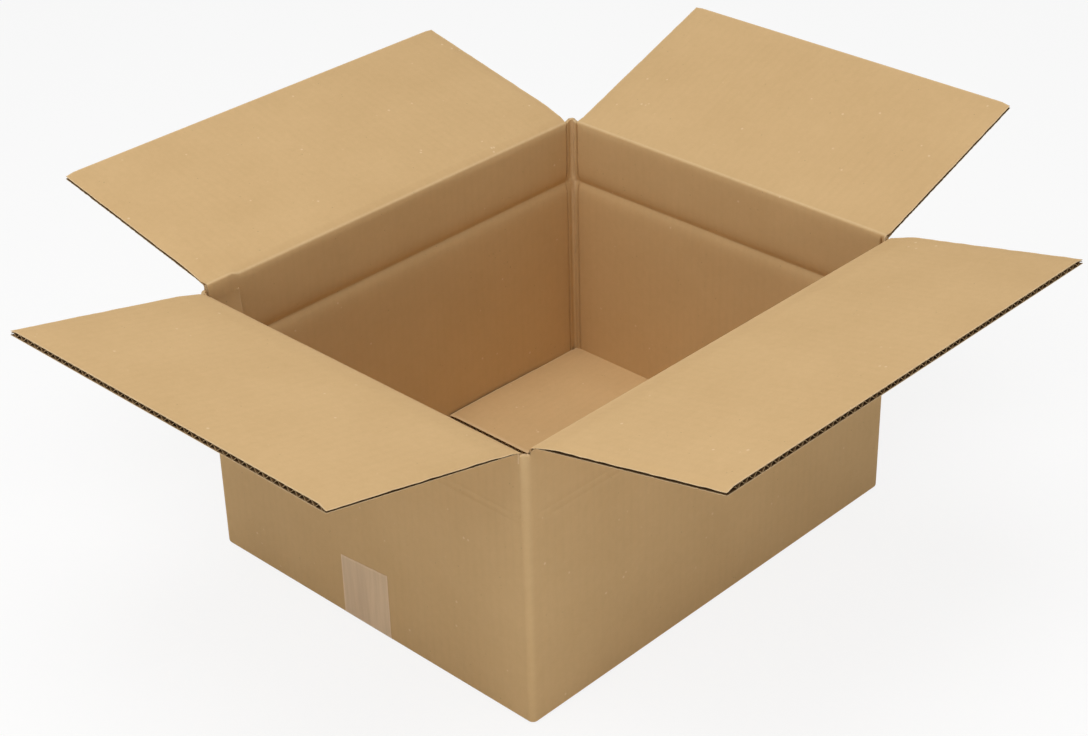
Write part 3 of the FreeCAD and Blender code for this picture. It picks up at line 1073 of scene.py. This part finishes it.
@dataclass
class Case:
    """The folded sheet without its top flaps: walls, corners, glued tab and closed bottom."""

    short_reach: float = 2.8
    long_reach: float = 5.0
    # Strength of the painted highlight stripe beside the short walls' inner corners.
    bead_highlight: float = 0.9
    # Paleness of the outer corners, rising towards the top: rubbed paper and painted highlight.
    corner_rub_and_highlight: float = 0.07
    crest_rub: float = 0.12
    uneven_crest: float = 0.35
    pinch: float = 0.8
    shallower_below: float = 0.3
    tab_slant: float = 6.0
    tab_bend: tuple[float, float] = (188.0, 212.5)
    bottom_gap: float = 4.1
    bottom_droop: float = 2.6
    bottom_rows: int = 40

    def _columns(self) -> dict[str, Array]:
        """Plan of the walls, counter-clockwise from the +X wall.

        Each wall is a straight run whose columns match those of its crease. Each corner is a
        quarter arc of two radii about one centre.

        Returns:
            Outer and inner points, their outward directions, the distance from the corner, the
            reach of the fall into it, the crest's height, and whether it is a corner's column.
        """
        outer, inner, outward, away, reach, crest = [], [], [], [], [], []
        half_length, half_width = SIZES.length / 2, SIZES.width / 2
        thick, radius = STOCK.thickness, SIZES.corner_radius
        short = (half_length, half_width, self.short_reach)
        walls = [short, (half_width, half_length, self.long_reach)] * 2
        for turn in range(4):
            bearing, (wall, side, fall) = 90 * turn, walls[turn]
            low, high = SIZES.insets[turn]
            following = SIZES.insets[(turn + 1) % 4][0]
            y = stations(low - side, side - high, *SIDE_STEPS)
            zero = 0 * y
            outer.append(np.stack(turned(bearing, wall + zero, y), -1))
            inner.append(np.stack(turned(bearing, wall - thick + zero, y), -1))
            outward.append(np.stack(turned(bearing, 1 + zero, zero), -1))
            away.append(side - thick - np.abs(y))
            reach.append(zero + fall)
            crest.append(zero)
            before = np.linspace(side - high + 0.02, side - radius - 0.01, 5)
            after = np.linspace(wall - radius - 0.01, wall - following + 0.02, 5)
            angle = np.radians(np.linspace(0.0, 90.0, 10))
            cosine = np.concatenate([np.ones(5), np.cos(angle), np.zeros(5)])
            sine = np.concatenate([np.zeros(5), np.sin(angle), np.ones(5)])
            for points, size in ((outer, radius), (inner, SIZES.inner_radius)):
                radial = np.concatenate([before * 0, 0 * angle, after - (wall - radius)])
                radial = wall - radius + size * cosine + radial
                left = np.concatenate([before - (side - radius), 0 * angle, 0 * after])
                left = side - radius + size * sine + left
                points.append(np.stack(turned(bearing, radial, left), -1))
            outward.append(np.stack(turned(bearing, cosine, sine), -1))
            away.append(np.concatenate([side - thick - before, 1.0 + 0 * angle, wall - thick - after]))
            next_fall = walls[(turn + 1) % 4][2]
            reach.append(np.concatenate([before * 0 + fall, 0 * angle + fall, 0 * after + next_fall]))
            across = np.linspace(-1.0, 1.0, 20)
            crest.append(SIZES.crests[turn] - SIZES.shoulders[turn] * np.abs(across) ** 3)
        parts = (outer, inner, outward, away, reach, crest)
        names = ("outer", "inner", "outward", "away", "reach", "crest")
        plan = {name: np.concatenate(part) for name, part in zip(names, parts)}
        plan["corner"] = (plan["crest"] > 0).astype(float)
        return plan

    def _outer_rows(self, top: Array) -> tuple[Array, Array]:
        """Rows of the outer face, from the ground to the rim.

        Args:
            top: Height of the rim for each column.

        Returns:
            Inset and height, rows by columns.
        """
        bend = np.radians(np.linspace(0.0, 90.0, 7))
        radius = SIZES.bottom_radius
        inset = np.concatenate([radius * (1 - np.sin(bend)), np.zeros(22), [0.05, 0.25, 0.6]])
        low = SIZES.underside + radius * (1 - np.cos(bend))
        marks = np.linspace(12.0, 150.0, 7)
        score = SIZES.score + np.array([-9, -6, -4.5, -3, -1.5, 0, 1.5, 3, 4.5, 6, 9])
        fixed = np.concatenate([low, marks, score, [190.0, 205.0, 212.0]])
        height = np.repeat(fixed[:, None], len(top), 1)
        rim = np.stack([top - 1.2, top - 0.9, top - 0.35, top])
        height = np.concatenate([height, rim])
        height = np.minimum(height, top[None] - 0.01)
        height[-1] = top
        inset = np.repeat(inset[:, None], len(top), 1)
        return inset[: len(height)], height

    def _outer_face(self, plan: dict[str, Array], top: Array) -> Array:
        """Points of the outer face, with two shallow ridges beside the height score.

        Args:
            plan: Columns of the walls.
            top: Height of the rim for each column.

        Returns:
            Points, rows by columns by 3.
        """
        inset, height = self._outer_rows(top)
        wall = plan["corner"][None] == 0
        rim_rows = np.arange(len(height))[:, None] >= len(height) - 3
        inset = np.where(rim_rows & wall, 0.0, inset)
        away = np.minimum(np.abs(height - SIZES.score), 30.0)
        ridges = PRESS.ridge_height * bell(away, PRESS.ridge_place, PRESS.ridge_half_width) * wall
        points = plan["outer"][None] + plan["outward"][None] * (ridges - inset)[..., None]
        return np.concatenate([points, height[..., None]], -1)

    def _inner_face(self, plan: dict[str, Array], top: Array) -> Array:
        """Points of the inner face, moved by the relief of the corners and of the height score.

        The groove of a corner is pinched where the score crosses it.

        Args:
            plan: Columns of the walls.
            top: Height of the rim for each column.

        Returns:
            Points, rows by columns by 3.
        """
        score = [np.arange(-18.0, -5.0, 1.3), np.arange(-5.0, 5.0, 0.45), np.arange(5.0, 19.0, 1.3)]
        low = np.concatenate([[SIZES.underside], np.linspace(4.0, 150.0, 12)])
        level = np.concatenate([low, SIZES.score + np.concatenate(score), [196.0, 206.0]])
        height = np.repeat(level[:, None], len(top), 1)
        rim = np.stack([top - 1.2, top - 0.6, top - 0.15, top])
        height = np.minimum(np.concatenate([height, rim]), top[None] - 0.005)
        height[-1] = top
        pinch = bell(height, SIZES.score, 3.2)
        relief = corner_relief(plan["away"], plan["reach"])[None] * (1.0 - self.pinch * pinch)
        relief = relief * (1.0 - self.shallower_below * (height < SIZES.score))
        relief = relief + score_relief(height) * ease(plan["away"], 0.8, 3.5)[None]
        rounding = np.zeros_like(height)
        rounding[-3:] = np.array([0.0, 0.2, 0.6])[:, None] * (plan["corner"] > 0)
        points = plan["inner"][None] + plan["outward"][None] * (rounding - relief)[..., None]
        return np.concatenate([points, height[..., None]], -1)

    def walls(self, finishes: Finishes) -> bpy.types.Object:
        """Build the four walls as one closed ring.

        Every column of the plan is carried up the outer face and the inner face, which are
        brought to the same number of rows by linear interpolation.

        Args:
            finishes: Finishes of the box.

        Returns:
            The folded walls.
        """
        plan = self._columns()
        steps = np.linalg.norm(np.diff(plan["outer"], axis=0), axis=1)
        arc = np.concatenate([[0.0], np.cumsum(steps)])
        crest = plan["crest"] + self.uneven_crest * smooth_noise(arc, 0 * arc, 77, 4.0)
        top = np.where(plan["corner"] > 0, crest, SIZES.rim_base)
        faces = (self._outer_face(plan, top), self._inner_face(plan, top))
        rows = max(len(face) for face in faces)
        grids = []
        for face in faces:
            index = np.interp(np.arange(rows), [0, rows - 1], [0, len(face) - 1])
            low = np.floor(index).astype(int)
            high = np.minimum(low + 1, len(face) - 1)
            part = (index - low)[:, None, None]
            grids.append(face[low] * (1 - part) + face[high] * part)
        outside, inside = (grid[..., 2] for grid in grids)
        shells = Shells()
        place = np.stack(np.broadcast_arrays(arc[None], outside), -1)
        shells.slab(grids[0], grids[1], place, self._wall_wear_and_highlights(plan, outside, inside), ring=True)
        piece = shells.piece("folded_walls", finishes.board)
        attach(piece, "body")
        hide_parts("box_body")
        return piece

    def _wall_wear_and_highlights(self, plan: dict[str, Array], outside: Array, inside: Array) -> Array:
        """Wear and painted highlights of the walls: outer corners rubbed and with a painted highlight,
        rubbed crests, and a painted highlight stripe beside inner corners.

        Args:
            plan: Columns of the walls.
            outside: Heights on the outer face.
            inside: Heights on the inner face.

        Returns:
            Wear from 0 to 1 on the two faces.
        """
        crest = self.crest_rub * ease(outside, plan["crest"] - 2.0, plan["crest"])
        # Outer corners paler towards the top: rubbed paper and painted highlight; the crests are rubbed.
        rub_and_highlight = (self.corner_rub_and_highlight * ease(outside, 60.0, 225.0) + crest) * (plan["corner"] > 0)
        # Painted highlight: a pale stripe beside the short walls' inner corners, on the inner face.
        bead_highlight = self.bead_highlight * bell(plan["away"], PRESS.bead_highlight_place, PRESS.bead_highlight_half_width)
        bead_highlight = bead_highlight * (plan["reach"] < PRESS.highlighted_reach) * ease(inside, 20.0, 180.0)
        return np.stack([rub_and_highlight, bead_highlight])

    def tab(self, finishes: Finishes) -> bpy.types.Object:
        """Build the glued tab: a thin board on the back long wall, with a slanted lower end.

        Its face falls back from the corner, is pressed at the score, and leans into the wall
        under the rim.

        Args:
            finishes: Finishes of the box.

        Returns:
            The tab.
        """
        near, far = -SIZES.length / 2 + STOCK.thickness, -SIZES.length / 2 + SIZES.tab_reach
        x, level = np.meshgrid(np.linspace(near, far, 26), np.linspace(0.0, 1.0, 70), indexing="ij")
        share = (x - near) / (far - near)
        low, high = SIZES.floor + 0.4 + self.tab_slant * share, SIZES.rim_base + 0.3
        z = low + (high - low) * level
        face = SIZES.width / 2 - STOCK.thickness - SIZES.tab_thickness
        relief = corner_relief(x - near, 1.0) * 0.3 + score_relief(z) * ease(x - near, 1.0, 4.0)
        pressed = SIZES.tab_lean * ease(z, *self.tab_bend)
        front = np.stack([x, face - relief + pressed, z], -1)
        back = np.stack([x, 0 * x + face + SIZES.tab_thickness + 1.0, z], -1)
        shells = Shells()
        worn = 0.35 * (1.0 - ease(far - x, 0.0, 1.2))
        shells.slab(front, back, np.stack([x, z], -1), worn)
        piece = shells.piece("glued_tab", finishes.board)
        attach(piece, "body")
        return piece

    def bottom(self, finishes: Finishes) -> bpy.types.Object:
        """Build the four closed bottom flaps: the long walls' flaps lie under the short walls'.

        Args:
            finishes: Finishes of the box.

        Returns:
            All four flaps as one piece.
        """
        shells = Shells()
        short = SIZES.width - 2 * SIZES.flap_inset
        long = SIZES.length - 2 * SIZES.flap_inset
        depth, start = SIZES.flap_depth, 3.0
        level = SIZES.floor - STOCK.thickness
        inner = {"distance": SIZES.length / 2, "level": level, "droop": self.bottom_droop}
        outer = {"distance": SIZES.width / 2, "level": SIZES.underside}
        inner["dense_rows"] = outer["dense_rows"] = self.bottom_rows
        flaps = [
            BottomFlap("inner_back", 0, short, depth - self.bottom_gap, start, 300, **inner),
            BottomFlap("inner_front", 180, short, depth, start, 310, **inner),
            BottomFlap("outer_back", 90, long, depth, start, 320, **outer),
            BottomFlap("outer_front", 270, long, depth, start, 330, **outer),
        ]
        for flap in flaps:
            flap.board(shells)
        piece = shells.piece("bottom_flaps", finishes.board)
        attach(piece, "body")
        return piece


@dataclass
class TapeStrip:
    """The strip of tape over the bottom seam and up both short walls."""

    width: float = 50.0
    offset: float = 2.4
    rise: float = 54.0
    slant: float = 4.0
    film: float = 0.1
    floor_gap: float = 0.04
    wall_gap: float = 0.06
    ragged: float = 0.25

    def build(self, finishes: Finishes) -> bpy.types.Object:
        """Build the film along its path: down one wall, round the bottom creases, up the other.

        The path is carried across the tape's width, and both ends are cut at a slant.

        Args:
            finishes: Finishes of the box.

        Returns:
            The film.
        """
        half, radius = SIZES.length / 2, SIZES.bottom_radius
        bend = np.radians(np.linspace(0.0, 90.0, 9))
        wall = np.linspace(1.0, 0.0, 24)[:-1]
        count = len(wall)
        arc_x = -half + radius * (1 - np.cos(bend))
        arc_z = radius * (1 - np.sin(bend)) + self.floor_gap
        under = np.linspace(-half + radius, half - radius, 40)[1:-1]
        x = np.concatenate([np.full(count, -half), arc_x, under, -arc_x[::-1], np.full(count, half)])
        base = np.concatenate([0 * wall, arc_z, 0 * under + self.floor_gap, arc_z[::-1], 0 * wall])
        climb = np.concatenate([wall, 0 * arc_z, 0 * under, 0 * arc_z, wall[::-1]])
        y = np.linspace(-self.width / 2, self.width / 2, 26)
        x, y2 = np.meshgrid(x, y, indexing="ij")
        top = self.rise + self.slant * (0.5 - y2 / self.width)
        ragged = self.ragged * smooth_noise(y2, 0 * y2, 61, 3.0)
        z = base[:, None] + climb[:, None] * (top + ragged - radius) + (climb[:, None] > 0) * radius
        normal_x = np.where(climb > 0, np.sign(x[:, 0]), 0.0)
        normal_z = np.where(climb > 0, 0.0, -1.0)
        arc_left = slice(count, count + 9)
        arc_right = slice(len(base) - count - 9, len(base) - count)
        normal_x[arc_left], normal_z[arc_left] = -np.cos(bend), -np.sin(bend)
        normal_x[arc_right], normal_z[arc_right] = np.cos(bend)[::-1], -np.sin(bend)[::-1]
        lift = np.where(normal_z[:, None] < -0.5, 0.0, self.wall_gap)
        inner = np.stack([x + normal_x[:, None] * lift, y2 + self.offset, z + 0 * lift], -1)
        depth = self.film * np.where(normal_z < -0.5, -1.0, 1.0)[:, None]
        moved_x, moved_z = normal_x[:, None] * depth, normal_z[:, None] * depth
        outer = inner + np.stack([moved_x + 0 * x, 0 * x, moved_z + 0 * x], -1)
        steps = np.linalg.norm(np.diff(inner[:, 0], axis=0), axis=1)
        length = np.concatenate([[0.0], np.cumsum(steps)])
        place = np.stack(np.broadcast_arrays(y2, length[:, None]), -1)
        edge = np.minimum(self.width / 2 - np.abs(y2), np.minimum(length, length[-1] - length)[:, None])
        worn = 1.0 - ease(edge, 0.0, 1.6)
        shells = Shells()
        shells.slab(outer, inner, place, worn, (Slot.LINER, Slot.LINER, Slot.LINER))
        piece = shells.piece("bottom_tape_film", [finishes.tape])
        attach(piece, "body")
        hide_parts("bottom_tape")
        return piece


@dataclass(frozen=True)
class Studio:
    """The floor, the soft light and the camera."""

    eye: Colour = (-1.04130, -1.00667, 0.99129)
    right: Colour = (0.689060, -0.724367, -0.022113)
    forward: Colour = (0.615701, 0.601240, -0.509336)
    focal_pixels: float = 2209.7
    image_width: float = 1088.0
    sensor: float = 36.0
    sky: float = 0.275
    floor_glow: float = 0.86

    def camera(self) -> bpy.types.Object:
        """Make the camera at the photograph's viewpoint.

        Returns:
            The camera, which is also the scene's.
        """
        data = bpy.data.cameras.new("photo_camera")
        data.sensor_width = self.sensor
        data.lens = self.focal_pixels / self.image_width * self.sensor
        data.clip_start, data.clip_end = 0.01, 100.0
        right, forward = Vector(self.right).normalized(), Vector(self.forward).normalized()
        up = right.cross(forward).normalized()
        right = forward.cross(up)
        turn = Matrix((right, up, -forward)).transposed().to_4x4()
        camera = bpy.data.objects.new("photo_camera", data)
        camera.matrix_world = Matrix.Translation(self.eye) @ turn
        bpy.context.scene.collection.objects.link(camera)
        bpy.context.scene.camera = camera
        return camera

    @staticmethod
    def _seen(tree: Tree) -> bpy.types.NodeSocket:
        """1 for rays that show a background: camera, glossy and transmission rays."""
        path = tree.node("ShaderNodeLightPath").outputs
        seen = tree.math("MAXIMUM", path["Is Camera Ray"], path["Is Glossy Ray"])
        return tree.math("MAXIMUM", seen, path["Is Transmission Ray"])

    def floor(self) -> bpy.types.Object:
        """Make the pale floor, a hair under the box.

        Returns:
            The floor.
        """
        mesh = bpy.data.meshes.new("floor")
        reach, level = 9.0, -0.0002
        signs = ((-1, -1), (1, -1), (1, 1), (-1, 1))
        corners = [(reach * x, reach * y, level) for x, y in signs]
        mesh.from_pydata(corners, [], [(0, 1, 2, 3)])
        material = bpy.data.materials.new("pale_floor")
        material.use_nodes = True
        shader = material.node_tree.nodes["Principled BSDF"]
        shader.inputs["Base Color"].default_value = (0.93, 0.93, 0.93, 1.0)
        shader.inputs["Roughness"].default_value = 0.9
        shader.inputs["Specular IOR Level"].default_value = 0.0
        tree = Tree(material.node_tree)
        glow = tree.node("ShaderNodeEmission", {"Strength": 1.0})
        share = tree.math("MULTIPLY", self._seen(tree), self.floor_glow)
        mixed = tree.node("ShaderNodeMixShader", {0: share, 1: shader.outputs[0], 2: glow.outputs[0]})
        output = material.node_tree.nodes["Material Output"]
        material.node_tree.links.new(mixed.outputs[0], output.inputs["Surface"])
        mesh.materials.append(material)
        floor = bpy.data.objects.new("floor", mesh)
        bpy.context.scene.collection.objects.link(floor)
        return floor

    def lamp(self, name: str, place: Colour, size: float, power: float) -> bpy.types.Object:
        """Make one square soft lamp that points at the middle of the box.

        Args:
            name: Name of the lamp.
            place: Its place in metres.
            size: Length of its side in metres.
            power: Power in watts.

        Returns:
            The lamp.
        """
        data = bpy.data.lights.new(name, "AREA")
        data.shape, data.size, data.energy = "SQUARE", size, power
        lamp = bpy.data.objects.new(name, data)
        lamp.location = place
        aim = Vector((0.0, 0.0, 0.15)) - Vector(place)
        lamp.rotation_euler = aim.to_track_quat("-Z", "Y").to_euler()
        bpy.context.scene.collection.objects.link(lamp)
        return lamp

    def light(self) -> None:
        """Make the white surroundings and the lamps."""
        world = bpy.data.worlds.new("white_room")
        bpy.context.scene.world = world
        world.use_nodes = True
        tree = Tree(world.node_tree)
        background = world.node_tree.nodes["Background"]
        strength = tree.fit(self._seen(tree), 0.0, 1.0, self.sky, 1.0)
        background.inputs["Color"].default_value = (1.0, 1.0, 1.0, 1.0)
        world.node_tree.links.new(strength, background.inputs["Strength"])
        self.lamp("top_lamp", (-0.2, -0.1, 1.9), 1.2, 18.4)
        self.lamp("side_lamp", (-1.1, 0.0, 1.9), 1.0, 5.8)
        self.lamp("left_fill", (-1.9, 0.2, 1.3), 1.4, 3.6)
        self.lamp("near_fill", (-1.1, -1.1, 0.32), 0.6, 2.7)
        self.lamp("right_fill", (0.3, -1.3, 0.32), 0.6, 1.0)

    def build(self) -> None:
        """Set up the whole stage."""
        self.camera()
        self.floor()
        self.light()
        bpy.context.scene.view_settings.view_transform = "Standard"


def top_flaps() -> list[TopFlap]:
    """Describe the four top flaps with their places, rest angles and cut sides.

    Returns:
        The flaps, counter-clockwise from the +X wall.
    """
    short = {
        "width": SIZES.width - 2 * SIZES.flap_inset, "depth": SIZES.flap_depth, "start": 5.0,
        "distance": SIZES.length / 2, "crease": SIZES.short_crease, "reach": Case.short_reach,
    }
    long = {
        "width": SIZES.length - 2 * SIZES.flap_inset, "depth": SIZES.flap_depth, "start": 5.0,
        "distance": SIZES.width / 2, "crease": SIZES.long_crease, "reach": Case.long_reach,
    }
    return [
        TopFlap(
            "short_flap_back", 0, seed=100, right=SideCut.OPEN, angle=19.0, left_taper=4.0,
            body="short_flap_back", **short,
        ),
        TopFlap(
            "long_flap_back", 90, seed=110, left=SideCut.OPEN, angle=12.0, right_taper=4.0,
            crush=0.7, dip=5.3, tab=True, body="long_flap_back", **long,
        ),
        TopFlap(
            "short_flap_front", 180, seed=120, left=SideCut.CRUSHED, angle=12.6,
            crush=0.6, dip=4.4, body="short_flap_front", **short,
        ),
        TopFlap(
            "long_flap_front", 270, seed=130, right=SideCut.OPEN, angle=12.2,
            crush=1.0, dip=7.0, skew=2.6, body="long_flap_front", **long,
        ),
    ]


def main() -> None:
    """Build every part of the box and its stage, and report each piece."""
    logging.basicConfig(level=logging.INFO, format="%(name)s: %(message)s")
    finishes = Finishes()
    case = Case()
    pieces = [case.walls(finishes), case.tab(finishes), case.bottom(finishes)]
    for flap in top_flaps():
        pieces += [flap.build_flap(finishes), flap.build_crease(finishes)]
    pieces.append(TapeStrip().build(finishes))
    for piece in pieces:
        log.info("%s has %d faces", piece.name, len(piece.data.polygons))
    Studio().build()


if __name__ == "__main__":
    main()
